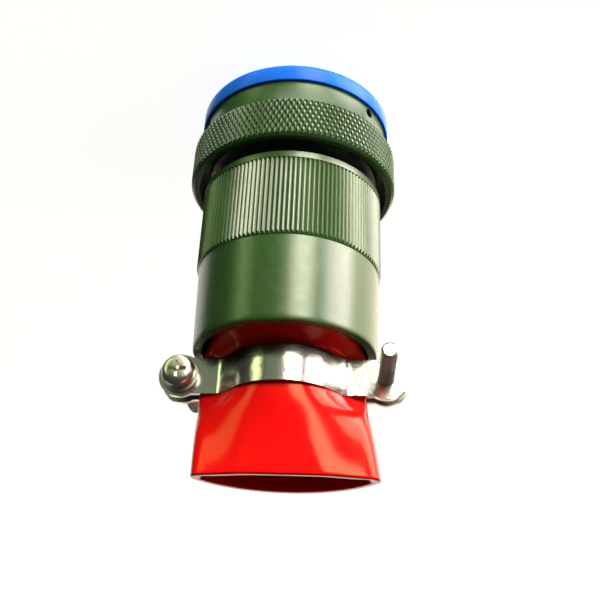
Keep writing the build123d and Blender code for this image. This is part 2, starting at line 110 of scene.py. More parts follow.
class BackshellProperties(bpy.types.PropertyGroup):
    """Sizes of the backshell"""

    front_radius: length("Front radius", "Radius over the serrations", shell_high.x)
    shoulder_radius: length("Shoulder radius", "Radius behind the serrations", shell_high.x - 0.6 * MM)
    rear_radius: length("Rear radius", "Radius at the cable end", shell_high.x - 1.15 * MM)
    front: length("Front", "Height of the front face", shell_low.z)
    serrated_from: length("Serrations from", "Height at which the serrations begin", shell_low.z + 2.0 * MM)
    serrated_to: length("Serrations to", "Height at which the serrations end", shell_low.z + 24.1 * MM)
    rear: length("Rear", "Height of the rear rim", shell_high.z)
    depth: length("Serration depth", "Depth of the serrations", 0.45 * MM)
    count: IntProperty(name="Serrations", description="Serrations around the backshell", default=126, min=12)


class CapProperties(bpy.types.PropertyGroup):
    """Sizes of the dust cap"""

    radius: length("Radius", "Outer radius of the cap", cap_high.x)
    wall: length("Wall", "Thickness of the cap's wall", 0.8 * MM)
    floor: length("Floor", "Thickness of the cap's end", 1.2 * MM)
    height: length("Height", "Height of the cap", cap_high.z)


class SleeveProperties(bpy.types.PropertyGroup):
    """Sizes of the rubber cable sleeve"""

    radius: length("Radius", "Radius of the round part", 18.2 * MM)
    flange: length("Flange radius", "Radius of the trapped flange", sleeve_high.y)
    wall: length("Wall", "Thickness of the rubber", 2.4 * MM)
    front: length("Front", "Height of the flange", sleeve_low.z)
    rear: length("Rear", "Height of the open end", sleeve_high.z)
    half_width: length("End half width", "Half of the open end's width", 21.7 * MM)
    end_top: length("End top", "Height of the flat side above the axis", 9.5 * MM)
    lean: length("Lean", "Sideways lean of the open end", 1.8 * MM)
    end_bottom: length("End bottom", "Depth of the round side under the axis", 9.6 * MM)


class ClampProperties(bpy.types.PropertyGroup):
    """Sizes of the clamp's two straps"""

    sheet: length("Sheet", "Thickness of the stamped sheet", 1.4 * MM)
    ear: length("Ear height", "Distance of the ears' outer faces from the middle", -strap_high.y + 1.4 * MM)
    top: length("Hump height", "Distance of the hump's top from the mid-plane", -strap_low.y)
    hump: length("Hump radius", "Radius of the hump", 14.0 * MM)
    fold: length("Fold radius", "Radius of the fold into the ears", 4.0 * MM)
    reach: length("Reach", "Half of the strap's length", strap_high.x)
    ear_radius: length("Ear radius", "Radius of the ears' ends", 5.4 * MM)
    band: length("Band width", "Width of the strap over the hump", 9.3 * MM)
    crown: length("Crown", "Rise of the crease along the hump's middle", 0.22 * MM)
    height: length("Height", "Height of the clamp's middle", 0.5 * (strap_low.z + strap_high.z))


class FastenerProperties(bpy.types.PropertyGroup):
    """Sizes of the clamp's screws and washers"""

    place: length("Screw place", "Distance of the screws from the axis", 0.5 * (screw_low.x + screw_high.x))
    seat: length("Head seat", "Distance of the heads' undersides from the mid-plane", 4.8 * MM)
    head_radius: length("Head radius", "Radius of the pan head", 4.0 * MM)
    head_height: length("Head height", "Height of the pan head", 3.0 * MM)
    crest: length("Thread radius", "Radius over the thread", 2.0 * MM)
    root: length("Thread root radius", "Radius at the bottom of the thread", 1.6 * MM)
    pitch: length("Thread pitch", "Rise of one turn", 0.7 * MM)
    shank: length("Shank", "Length under the head", 25.0 * MM)


class ConnectorColours(bpy.types.PropertyGroup):
    """Colours of the connector's finishes"""

    olive: colour("Olive plate", "Colour of the plated metal", (0.022, 0.074, 0.009))
    olive_dark: colour("Olive shade", "Darker tone of the plated metal", (0.018, 0.064, 0.008))
    blue: colour("Cap blue", "Colour of the dust cap", (0.011, 0.125, 0.8))
    blue_light: colour("Cap light blue", "Paler tone of the dust cap", (0.016, 0.165, 0.86))
    red: colour("Sleeve red", "Colour of the rubber sleeve", (0.9, 0.006, 0.006))
    red_dark: colour("Sleeve shade", "Darker tone of the rubber sleeve", (0.86, 0.005, 0.005))
    steel: colour("Polished steel", "Colour of the clamp straps", (0.66, 0.65, 0.6))
    screw: colour("Screw steel", "Colour of the screws and washers", (0.74, 0.70, 0.62))


class StageProperties(bpy.types.PropertyGroup):
    """Where the camera stands and how far the stage is turned"""

    camera: FloatVectorProperty(
        name="Camera",
        description="Place of the camera",
        default=(-0.0032, -0.1798, 0.1468),
        subtype="TRANSLATION",
        unit="LENGTH",
    )
    tilt: rotation("Tilt", "Tilt of the camera", 63.06)
    roll: rotation("Roll", "Roll of the camera", 182.405)
    around: rotation("Around", "Turn of the camera and the lights round the connector", -4.2)
    lens: FloatProperty(name="Lens", description="Focal length", default=46.8, unit="CAMERA")


# Meshes


WELD = 0.001 * MM


def sweep(bm, geom, turn, steps, climb=0.0, use_merge=False):
    """Spin geometry round the Z axis, climbing at each step."""
    path = {"cent": (0, 0, 0), "axis": (0, 0, 1), "dvec": (0, 0, climb), "angle": turn, "steps": steps}
    bmesh.ops.spin(bm, geom=geom, use_merge=use_merge, **path)


def spin_profile(bm, profile, steps, closed=True):
    """Spin a profile of (radius, height) points a full turn round the Z axis.

    An open profile starts and ends on the axis, where its points are welded.
    """
    corners = [bm.verts.new((radius, 0.0, height)) for radius, height in profile]
    pairs = list(zip(corners, corners[1:]))
    if closed:
        pairs.append((corners[-1], corners[0]))
    edges = [bm.edges.new(pair) for pair in pairs]
    sweep(bm, corners + edges, math.tau, steps, use_merge=True)
    if not closed:
        bmesh.ops.remove_doubles(bm, verts=bm.verts, dist=WELD)
    bmesh.ops.recalc_face_normals(bm, faces=bm.faces)


def round_edges(bm, edges, offset, segments=2):
    """Bevel the edges into small rounds."""
    shape = {"offset_type": "OFFSET", "profile": 0.5, "affect": "EDGES", "clamp_overlap": True}
    bmesh.ops.bevel(bm, geom=edges, offset=offset, segments=segments, material=-1, **shape)


def everything(bm):
    """List all of a bmesh."""
    return bm.verts[:] + bm.edges[:] + bm.faces[:]


def only_verts(items):
    """Pick the vertices out of what an operator made."""
    return [item for item in items if isinstance(item, bmesh.types.BMVert)]


def turn_mesh(bm, degrees, axis, verts=None):
    """Turn a bmesh, or some of its vertices, round one of the origin's axes."""
    turn = Matrix.Rotation(math.radians(degrees), 3, axis)
    bmesh.ops.rotate(bm, verts=verts or bm.verts, cent=(0, 0, 0), matrix=turn)


def shift_mesh(bm, x, y, z):
    """Shift a whole bmesh."""
    bmesh.ops.translate(bm, verts=bm.verts, vec=(x, y, z))


def add_box(bm, x, y, z):
    """Add a box of the given size round the origin."""
    bmesh.ops.create_cube(bm, size=1.0)
    bmesh.ops.scale(bm, verts=bm.verts, vec=(x, y, z))


def add_rod(bm, radius, depth, segments, end_radius=None):
    """Add a cylinder or cone along the Z axis, its middle at the origin."""
    end = end_radius or radius
    bmesh.ops.create_cone(bm, cap_ends=True, segments=segments, radius1=radius, radius2=end, depth=depth)


def sharp_edges(bm, angle):
    """List the edges whose faces meet at more than the angle."""
    return [edge for edge in bm.edges if len(edge.link_faces) == 2 and edge.calc_face_angle() > angle]


def add_object(name, data):
    """Put an object with the data in the scene."""
    made = bpy.data.objects.new(name, data)
    bpy.context.scene.collection.objects.link(made)
    return made


def as_object(bm, name):
    """Turn a bmesh into an object in the scene."""
    mesh = bpy.data.meshes.new(name)
    bm.to_mesh(mesh)
    bm.free()
    return add_object(name, mesh)


def as_solid(bm, name):
    """Turn a closed bmesh into an object, its faces outward."""
    bmesh.ops.recalc_face_normals(bm, faces=bm.faces)
    return as_object(bm, name)


def combine(piece, tool, operation):
    """Cut or join a piece with a tool, which is used up."""
    modifier = piece.modifiers.new("combine", "BOOLEAN")
    modifier.operation = operation
    modifier.solver = "EXACT"
    modifier.object = tool
    depsgraph = bpy.context.evaluated_depsgraph_get()
    result = bpy.data.meshes.new_from_object(piece.evaluated_get(depsgraph))
    piece.modifiers.clear()
    piece.data = result
    bpy.data.objects.remove(tool)
    if not result.polygons:
        raise RuntimeError(f"{piece.name} came out empty")


def paint(mesh, slot):
    """Give a mesh the finish of a material slot."""
    mesh.materials.clear()
    mesh.materials.append(bpy.data.materials["finish_" + slot])


def finish_piece(piece, body, slot, node, smooth):
    """Shade a piece smooth up to an angle in degrees, paint it and let it stand for its node."""
    piece.data.shade_smooth()
    piece.data.set_sharp_from_angle(angle=math.radians(smooth))
    paint(piece.data, slot)
    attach(piece, body)
    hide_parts(node)


def add_bevel(piece, width, segments, angle):
    """Round the edges of a finished piece."""
    modifier = piece.modifiers.new("round", "BEVEL")
    modifier.limit_method = "ANGLE"
    modifier.angle_limit = angle
    modifier.width = width
    modifier.segments = segments
    modifier.harden_normals = True


# Materials


def new_group(name, inputs, outputs):
    """Start a shader node group with the given sockets."""
    group = bpy.data.node_groups.new(name, "ShaderNodeTree")
    for socket, kind, default in inputs:
        made = group.interface.new_socket(socket, in_out="INPUT", socket_type="NodeSocket" + kind)
        made.default_value = default
    for socket, kind in outputs:
        group.interface.new_socket(socket, in_out="OUTPUT", socket_type="NodeSocket" + kind)
    return group, group.nodes.new("NodeGroupInput"), group.nodes.new("NodeGroupOutput")


def feed(tree, node, inputs):
    """Link each input to a socket, or give it a value."""
    for name, given in inputs.items():
        if isinstance(given, bpy.types.NodeSocket):
            tree.links.new(given, node.inputs[name])
        else:
            node.inputs[name].default_value = given


def add_node(tree, kind, inputs, **settings):
    """Add a shader node with its settings and its inputs."""
    node = tree.nodes.new("ShaderNode" + kind)
    for name, value in settings.items():
        setattr(node, name, value)
    feed(tree, node, inputs)
    return node


def make_grain_group():
    """Build the group for fine uneven grain, from two sizes of noise."""
    group, given, result = new_group(
        "fine_grain",
        [
            ("Grains per Metre", "Float", 4000.0),
            ("Stretch", "Vector", (1.0, 1.0, 1.0)),
        ],
        [("Height", "Float"), ("Mask", "Float")],
    )
    fine_to_coarse = 14.0
    coarse_share = 0.35
    scale = given.outputs["Grains per Metre"]
    place = add_node(group, "TexCoord", {}).outputs["Object"]
    stretch = add_node(group, "VectorMath", {0: place, 1: given.outputs["Stretch"]}, operation="MULTIPLY")
    vector = stretch.outputs["Vector"]
    fine = add_node(group, "TexNoise", {"Vector": vector, "Scale": scale, "Detail": 3.0})
    sparse = add_node(group, "Math", {0: scale, 1: fine_to_coarse}, operation="DIVIDE")
    coarse_noise = add_node(group, "TexNoise", {"Vector": vector, "Scale": sparse.outputs["Value"]})
    coarse = coarse_noise.outputs["Fac"]
    summed = {0: coarse, 1: coarse_share, 2: fine.outputs["Fac"]}
    both = add_node(group, "Math", summed, operation="MULTIPLY_ADD")
    spread = add_node(group, "MapRange", {"Value": coarse, "From Min": 0.35, "From Max": 0.65})
    feed(group, result, {"Height": both.outputs["Value"], "Mask": spread.outputs["Result"]})
    return group


def make_tone_group():
    """Build the group for a slow drift between two tones, lighter on worn edges."""
    group, given, result = new_group(
        "tone_drift",
        [
            ("Tone", "Color", (0.5, 0.5, 0.5, 1.0)),
            ("Shade", "Color", (0.4, 0.4, 0.4, 1.0)),
            ("Patches per Metre", "Float", 120.0),
            ("Edge Tone", "Color", (0.6, 0.6, 0.6, 1.0)),
            ("Edge Wear", "Float", 0.0),
        ],
        [("Color", "Color")],
    )
    sockets = given.outputs
    place = add_node(group, "TexCoord", {}).outputs["Object"]
    patches = {"Vector": place, "Scale": sockets["Patches per Metre"], "Detail": 4.0}
    drift = add_node(group, "TexNoise", patches)
    spread = add_node(group, "MapRange", {"Value": drift.outputs["Fac"], "From Min": 0.3, "From Max": 0.7})
    mixed = {"Factor": spread.outputs["Result"], "A": sockets["Tone"], "B": sockets["Shade"]}
    tones = add_node(group, "Mix", mixed, data_type="RGBA")
    bend = add_node(group, "NewGeometry", {}).outputs["Pointiness"]
    edges = add_node(group, "MapRange", {"Value": bend, "From Min": 0.54, "From Max": 0.68})
    worn_edges = {0: edges.outputs["Result"], 1: sockets["Edge Wear"]}
    wear = add_node(group, "Math", worn_edges, operation="MULTIPLY")
    mixed = {"Factor": wear.outputs["Value"], "A": tones.outputs["Result"], "B": sockets["Edge Tone"]}
    worn = add_node(group, "Mix", mixed, data_type="RGBA")
    feed(group, result, {"Color": worn.outputs["Result"]})
    return group


PLAIN_LOOK = {
    "shader": {},
    "patches": 120.0,
    "edge_wear": 0.0,
    "grains": 4000.0,
    "stretch": (1.0, 1.0, 1.0),
    "bump": 0.5,
    "depth": 0.00002,
}
METAL = {"Metallic": 1.0}
LOOKS = {
    "olive_plate": {
        "shader": {"Metallic": 0.1, "Specular IOR Level": 0.9},
        "roughness": (0.28, 0.34),
        "grains": 9000.0,
        "depth": 0.000002,
        "patches": 90.0,
        "edge_tone": (0.16, 0.22, 0.11),
        "edge_wear": 0.5,
    },
    "blue_plastic": {
        "shader": {
            "Subsurface Weight": 0.35,
            "Subsurface Radius": (0.2, 0.5, 1.0),
            "Subsurface Scale": 0.004,
            "Specular IOR Level": 0.1,
        },
        "roughness": (0.22, 0.32),
        "grains": 900.0,
        "depth": 0.000008,
        "patches": 45.0,
    },
    "red_rubber": {
        "shader": {
            "Subsurface Weight": 0.05,
            "Subsurface Radius": (1.0, 0.2, 0.1),
            "Subsurface Scale": 0.001,
            "Specular IOR Level": 0.35,
            "Specular Tint": (1.0, 0.62, 0.35, 1.0),
        },
        "roughness": (0.12, 0.18),
        "grains": 2500.0,
        "depth": 0.000004,
        "patches": 60.0,
    },
    "polished_steel": {
        "shader": METAL,
        "roughness": (0.15, 0.24),
        "grains": 380.0,
        "depth": 0.0002,
        "bump": 0.45,
    },
    "screw_steel": {
        "shader": METAL,
        "roughness": (0.28, 0.38),
        "grains": 3000.0,
        "edge_tone": (0.85, 0.83, 0.78),
        "edge_wear": 0.4,
    },
    "spring_steel": {
        "shader": METAL,
        "tones": ((0.45, 0.45, 0.44), (0.36, 0.36, 0.36)),
        "roughness": (0.25, 0.4),
        "grains": 3000.0,
        "stretch": (1.0, 1.0, 0.1),
    },
    "black_rubber": {
        "tones": ((0.018, 0.018, 0.018), (0.03, 0.03, 0.03)),
        "roughness": (0.45, 0.65),
        "grains": 5000.0,
    },
    "grey_rubber": {
        "tones": ((0.16, 0.17, 0.18), (0.21, 0.215, 0.22)),
        "roughness": (0.5, 0.7),
        "depth": 0.00003,
    },
    "insulator_plastic": {
        "tones": ((0.03, 0.03, 0.032), (0.045, 0.045, 0.05)),
        "roughness": (0.35, 0.5),
        "grains": 5000.0,
    },
    "contact_gold": {
        "shader": METAL,
        "tones": ((0.85, 0.58, 0.22), (0.78, 0.5, 0.17)),
        "roughness": (0.15, 0.3),
    },
    "ring_aluminium": {
        "shader": METAL,
        "tones": ((0.62, 0.62, 0.61), (0.5, 0.5, 0.5)),
        "roughness": (0.25, 0.4),
        "grains": 3000.0,
        "stretch": (1.0, 1.0, 0.15),
    },
}


def make_finish(name, groups, tone, shade, look):
    """Build one material from the shared groups and the finish's own values."""
    material = bpy.data.materials.new("finish_" + name)
    material.use_nodes = True
    tree = material.node_tree
    shader = tree.nodes["Principled BSDF"]
    tones = {
        "Tone": (*tone, 1.0),
        "Shade": (*shade, 1.0),
        "Patches per Metre": look["patches"],
        "Edge Tone": (*look.get("edge_tone", tone), 1.0),
        "Edge Wear": look["edge_wear"],
    }
    drift = add_node(tree, "Group", tones, node_tree=groups["tone"])
    grains = {"Grains per Metre": look["grains"], "Stretch": look["stretch"]}
    grain = add_node(tree, "Group", grains, node_tree=groups["grain"])
    low, high = look["roughness"]
    rough = add_node(tree, "MapRange", {"Value": grain.outputs["Mask"], "To Min": low, "To Max": high})
    relief = {"Height": grain.outputs["Height"], "Strength": look["bump"], "Distance": look["depth"]}
    bump = add_node(tree, "Bump", relief)
    made = {
        "Base Color": drift.outputs["Color"],
        "Roughness": rough.outputs["Result"],
        "Normal": bump.outputs["Normal"],
    }
    feed(tree, shader, look["shader"] | made)


def make_all_finishes(colours):
    """Build every finish in the record's material slots."""
    groups = {"grain": make_grain_group(), "tone": make_tone_group()}
    tones = {
        "olive_plate": (colours.olive, colours.olive_dark),
        "blue_plastic": (colours.blue, colours.blue_light),
        "red_rubber": (colours.red, colours.red_dark),
        "polished_steel": (colours.steel, tuple(0.9 * part for part in colours.steel)),
        "screw_steel": (colours.screw, tuple(0.85 * part for part in colours.screw)),
    }
    for name, look in LOOKS.items():
        tone, shade = look["tones"] if "tones" in look else tones[name]
        make_finish(name, groups, tone, shade, PLAIN_LOOK | look)


# Operators


class CONNECTOR_OT_stage(bpy.types.Operator):
    """Set up the floor, the studio lights and the camera"""

    bl_idname = "connector.stage"
    bl_label = "Stage"

    def execute(self, context):
        stage = context.scene.connector_stage
        scene = context.scene
        scene.view_settings.view_transform = "Standard"
        scene.view_settings.look = "None"

        camera = bpy.data.cameras.new("camera")
        camera.lens = stage.lens
        camera.sensor_width = 36.0
        camera.clip_start = 0.005
        viewer = add_object("camera", camera)
        turn = Matrix.Rotation(stage.tilt, 4, "X") @ Matrix.Rotation(stage.roll, 4, "Z")
        around_axis = Matrix.Rotation(stage.around, 4, "Z")
        viewer.matrix_world = around_axis @ Matrix.Translation(stage.camera) @ turn
        scene.camera = viewer

        bm = bmesh.new()
        bmesh.ops.create_grid(bm, x_segments=1, y_segments=1, size=3.0)
        floor = as_object(bm, "floor")
        floor.visible_shadow = floor.visible_glossy = floor.visible_diffuse = False
        paper = bpy.data.materials.new("floor_paper")
        paper.use_nodes = True
        plain = {
            "Base Color": (0.8, 0.8, 0.785, 1.0),
            "Emission Color": (1.0, 1.0, 0.985, 1.0),
            "Emission Strength": 0.9,
            "Roughness": 0.9,
            "Specular IOR Level": 0.1,
        }
        feed(paper.node_tree, paper.node_tree.nodes["Principled BSDF"], plain)
        floor.data.materials.append(paper)

        world = bpy.data.worlds.new("studio")
        world.use_nodes = True
        dim = {"Color": (1.0, 1.0, 0.985, 1.0), "Strength": 0.045}
        feed(world.node_tree, world.node_tree.nodes["Background"], dim)
        scene.world = world

        lights = (
            ("front_window", 17.0, -30.0, 0.5, (0.2, 0.42), 3.4, (1.0, 0.93, 0.76)),
            ("main_window", 64.0, -30.0, 0.5, (0.3, 0.42), 4.2, (1.0, 0.85, 0.84)),
            ("right_wall", 112.0, -30.0, 0.55, (1.0, 0.42), 4.0, (1.0, 0.86, 0.7)),
            ("gap_panel", -20.0, -30.0, 0.5, (0.3, 0.42), 0.09, (0.8, 1.0, 0.6)),
            ("left_window", -55.0, -30.0, 0.5, (0.12, 0.42), 0.45, (0.75, 1.0, 0.45)),
            ("left_wall", -148.0, -30.0, 0.5, (0.46, 0.42), 0.8, (1.0, 1.0, 0.85)),
            ("low_box", 10.0, -80.0, 0.6, (0.4, 0.4), 1.5, (1.0, 1.0, 0.98)),
            ("back_box", 180.0, 14.0, 1.6, (2.4, 0.4), 6.0, (1.0, 0.8, 0.7)),
            ("top_box", 75.0, 58.0, 0.9, (0.4, 0.4), 0.5, (1.0, 1.0, 0.98)),
        )
        middle = Vector((0.0, 0.0, 0.06))
        for name, azimuth, elevation, distance, size, power, tint in lights:
            data = bpy.data.lights.new(name, "AREA")
            data.shape = "RECTANGLE"
            data.size, data.size_y = size
            data.energy = power
            data.color = tint
            around = math.radians(azimuth)
            up = math.radians(elevation)
            away = Vector((-math.sin(around) * math.cos(up), -math.cos(around) * math.cos(up), math.sin(up)))
            lamp = add_object(name, data)
            facing = away.to_track_quat("Z", "Y").to_matrix().to_4x4()
            lamp.matrix_world = around_axis @ Matrix.Translation(middle + distance * away) @ facing
        return {"FINISHED"}


class CONNECTOR_OT_finishes(bpy.types.Operator):
    """Build the finishes and give each solid that stays its own"""

    bl_idname = "connector.finishes"
    bl_label = "Finishes"

    def execute(self, context):
        make_all_finishes(context.scene.connector_colours)
        for part in frame["record"]["subparts"]:
            paint(frame["nodes"][part["node"]].data, part["material_slot"])
        return {"FINISHED"}


GROOVE_ACROSS = 1.6 * MM
GROOVE_ALONG = 2.8 * MM
RAMP_TURN = 100.0
FIRST_HOLE = 215.4


def knurl(bm, nut, knurl_from, knurl_to):
    """Raise crossed rows of pyramids out of the root cylinder."""
    slack = 0.01 * MM
    wide_slack = 0.1 * MM
    point_inset = 0.4 * MM
    worn_off = 0.02 * MM

    def band(least):
        """List the knurled band's faces, which lie outside the least radius."""
        low, high = knurl_from - slack, knurl_to + slack
        return [
            face
            for face in bm.faces
            if all(vert.co.to_2d().length > least and low < vert.co.z < high for vert in face.verts)
        ]

    cells = band(nut.root - slack)
    edges = dict.fromkeys(edge for face in cells for edge in face.edges)
    old = [edge for edge in edges if all(side in cells for side in edge.link_faces)]
    bmesh.ops.poke(bm, faces=cells)
    bmesh.ops.dissolve_edges(bm, edges=[edge for edge in old if edge.is_valid], use_verts=False)
    diamonds = band(nut.root - wide_slack)
    rise = nut.crest - nut.root - worn_off
    bmesh.ops.inset_individual(bm, faces=diamonds, thickness=point_inset, depth=rise, use_even_offset=True)


def three_cutters(bm):
    """Repeat a cutter three times round the axis, the first at the hole's angle."""
    source = everything(bm)
    for turn in (120.0, 240.0):
        copy = bmesh.ops.duplicate(bm, geom=source)["geom"]
        turn_mesh(bm, turn, "Z", only_verts(copy))
    turn_mesh(bm, FIRST_HOLE, "Z")
    return as_solid(bm, "cutter")


def hole_cutters(nut):
    """Drill the inspection holes."""
    bm = bmesh.new()
    add_rod(bm, nut.hole, 3.0 * MM, 32)
    turn_mesh(bm, 90, "Y")
    shift_mesh(bm, nut.band, 0.0, nut.hole_height)
    return three_cutters(bm)


def ramp_cutters(nut):
    """Sweep the helical bayonet ramps that end at the holes, from their square section."""
    bm = bmesh.new()
    steps = 30
    rise = 3.0 * MM
    bmesh.ops.create_grid(bm, x_segments=1, y_segments=1, size=0.5)
    bmesh.ops.scale(bm, verts=bm.verts, vec=(GROOVE_ACROSS, GROOVE_ALONG, 1.0))
    turn_mesh(bm, 90, "X")
    shift_mesh(bm, nut.bore, 0.0, nut.hole_height - rise)
    sweep(bm, everything(bm), math.radians(RAMP_TURN), steps, climb=rise / steps)
    turn_mesh(bm, -RAMP_TURN, "Z")
    return three_cutters(bm)


def slot_cutters(nut):
    """Open each ramp to the nut's front face."""
    bm = bmesh.new()
    deep = 3.6 * MM
    ramp_foot = nut.front + 2.5 * MM
    add_box(bm, GROOVE_ACROSS, GROOVE_ALONG, deep)
    shift_mesh(bm, nut.bore, 0.0, ramp_foot + 0.5 * GROOVE_ALONG - deep / 2)
    turn_mesh(bm, -RAMP_TURN, "Z")
    return three_cutters(bm)


class CONNECTOR_OT_coupling_nut(bpy.types.Operator):
    """Turn, knurl and drill the coupling nut"""

    bl_idname = "connector.coupling_nut"
    bl_label = "Coupling nut"

    def execute(self, context):
        nut = context.scene.connector_nut
        chamfer = 0.4 * MM
        recess_depth = 4.8 * MM
        flange_thickness = 2.0 * MM
        slack = 0.01 * MM
        knurl_from = nut.shoulder + chamfer
        knurl_to = nut.rear - chamfer
        step = (knurl_to - knurl_from) / nut.rows
        flange_rear = nut.rear - recess_depth
        flange_front = flange_rear - flange_thickness
        profile = [
            (nut.bore, nut.front),
            (nut.band - chamfer, nut.front),
            (nut.band, nut.front + chamfer),
            (nut.band, nut.shoulder),
            (nut.root - chamfer, nut.shoulder),
            *((nut.root, knurl_from + row * step) for row in range(nut.rows + 1)),
            (nut.root - chamfer, nut.rear),
            (nut.recess, nut.rear),
            (nut.recess, flange_rear),
            (nut.flange, flange_rear),
            (nut.flange, flange_front),
            (nut.bore, flange_front),
        ]
        bm = bmesh.new()
        spin_profile(bm, profile, nut.columns)
        inner = [
            edge
            for edge in sharp_edges(bm, math.radians(50))
            if all(vert.co.to_2d().length < nut.recess + slack for vert in edge.verts)
        ]
        round_edges(bm, inner, 0.12 * MM)
        knurl(bm, nut, knurl_from, knurl_to)
        piece = as_object(bm, "nut_knurled")
        for cutter in (slot_cutters(nut), ramp_cutters(nut), hole_cutters(nut)):
            combine(piece, cutter, "DIFFERENCE")
        finish_piece(piece, "coupling_ring", "olive_plate", "coupling_nut", 28)
        return {"FINISHED"}


class CONNECTOR_OT_backshell(bpy.types.Operator):
    """Turn and serrate the backshell"""

    bl_idname = "connector.backshell"
    bl_label = "Backshell"

    def execute(self, context):
        shell = context.scene.connector_backshell
        front, rear = shell.front, shell.rear
        wide, narrow = shell.front_radius, shell.rear_radius
        run_out = 1.0 * MM
        bore = 20.63 * MM
        seal = 21.03 * MM
        ledge = 18.35 * MM
        lip_wall = 2.2 * MM
        ledge_depth = 10.0 * MM
        ledge_thickness = 2.0 * MM
        slack = 0.01 * MM
        entry = narrow - lip_wall
        slope = (wide - shell.shoulder_radius) / run_out
        seat = front + 3.0 * MM
        ledge_rear = rear - ledge_depth
        ledge_front = ledge_rear - ledge_thickness
        cone_from = shell.serrated_to - run_out
        start = shell.serrated_from + 0.12 * MM
        profile = [
            (seal, front),
            (wide - 0.3 * MM, front),
            (wide, front + 0.3 * MM),
            (wide, shell.serrated_from),
            (wide, start),
            (wide, cone_from),
            (shell.shoulder_radius, shell.serrated_to),
            (narrow + 0.06 * MM, rear - 1.6 * MM),
            (narrow + 0.01 * MM, rear - 0.5 * MM),
            (narrow - 0.15 * MM, rear - 0.15 * MM),
            (narrow - 0.5 * MM, rear),
            (entry + 0.2 * MM, rear),
            (entry, rear - 0.2 * MM),
            (entry, ledge_rear),
            (ledge, ledge_rear),
            (ledge, ledge_front),
            (bore, ledge_front),
            (bore, seat),
            (seal, seat),
        ]
        shares = (1.0, 0.36, 0.0, 0.36)
        steps = len(shares) * shell.count
        bm = bmesh.new()
        spin_profile(bm, profile, steps)
        for vert in bm.verts:
            radius = vert.co.to_2d().length
            if radius < wide - slack or vert.co.z < start - slack:
                continue
            place = round(math.atan2(vert.co.y, vert.co.x) * steps / math.tau) % len(shares)
            sink = shell.depth * shares[place]
            vert.co.x *= 1.0 - sink / radius
            vert.co.y *= 1.0 - sink / radius
            if vert.co.z > cone_from - slack:
                vert.co.z += sink / slope
        piece = as_solid(bm, "backshell_serrated")
        finish_piece(piece, "plug_body", "olive_plate", "backshell", 24)
        return {"FINISHED"}


class CONNECTOR_OT_dust_cap(bpy.types.Operator):
    """Mould the push-on dust cap"""

    bl_idname = "connector.dust_cap"
    bl_label = "Dust cap"

    def execute(self, context):
        cap = context.scene.connector_cap
        inner = cap.radius - cap.wall
        profile = [
            (0.0, 0.0),
            (cap.radius - 0.7 * MM, 0.0),
            (cap.radius - 0.25 * MM, 0.15 * MM),
            (cap.radius - 0.05 * MM, 0.5 * MM),
            (cap.radius, 1.0 * MM),
            (cap.radius, cap.height - 0.3 * MM),
            (cap.radius - 0.1 * MM, cap.height - 0.08 * MM),
            (cap.radius - 0.3 * MM, cap.height),
            (inner + 0.25 * MM, cap.height),
            (inner, cap.height - 0.25 * MM),
            (inner, cap.floor + 0.3 * MM),
            (inner - 0.3 * MM, cap.floor),
            (0.0, cap.floor),
        ]
        bm = bmesh.new()
        spin_profile(bm, profile, 144, closed=False)
        piece = as_object(bm, "cap_push_on")
        finish_piece(piece, "cap", "blue_plastic", "dust_cap", 40)
        return {"FINISHED"}


def quarter(widths, heights):
    """Pair the widths and heights of a quarter section in mm, from the side to the middle."""
    return tuple(zip(widths, heights))


def mix(first, second, share):
    """Blend two rings point by point."""
    return [a.lerp(b, share) for a, b in zip(first, second)]


# Upper quarters of the sleeve: between the straps, right behind them, and of the hollow between them
GRIP = quarter(
    (20.4, 20.2, 19.0, 17.1, 15.0, 13.3, 11.3, 9.0, 6.2, 3.2, 0.0),
    (0.0, 0.95, 1.45, 1.45, 2.3, 4.25, 6.9, 9.1, 10.75, 11.6, 11.85),
)
MOUTH = quarter(
    (20.5, 20.4, 19.7, 18.4, 16.6, 14.5, 12.1, 9.4, 6.4, 3.3, 0.0),
    (0.0, 1.1, 2.2, 3.4, 4.9, 6.5, 8.1, 9.5, 10.7, 11.4, 11.65),
)
GRIP_HOLLOW = quarter(
    (13.6, 13.2, 12.2, 11.0, 9.8, 8.3, 6.6, 4.8, 3.2, 1.6, 0.0),
    (0.0, 0.9, 2.2, 3.7, 5.3, 6.7, 7.85, 8.7, 9.15, 9.4, 9.45),
)


def round_ring(radius):
    """Place a ring's points on a circle."""
    points = 4 * (len(GRIP) - 1)
    turns = [math.tau * step / points for step in range(points)]
    return [Vector((radius * math.cos(turn), -radius * math.sin(turn))) for turn in turns]


def full_ring(upper, lower):
    """Mirror an upper and a lower quarter, each from the side to the middle, into a full ring."""
    right = [(x * MM, -y * MM) for x, y in upper]
    left = [(-x, y) for x, y in reversed(right[:-1])]
    under_left = [(-x * MM, y * MM) for x, y in lower[1:]]
    under_right = [(-x, y) for x, y in reversed(under_left[:-1])]
    return [Vector(point) for point in right + left + under_left + under_right]


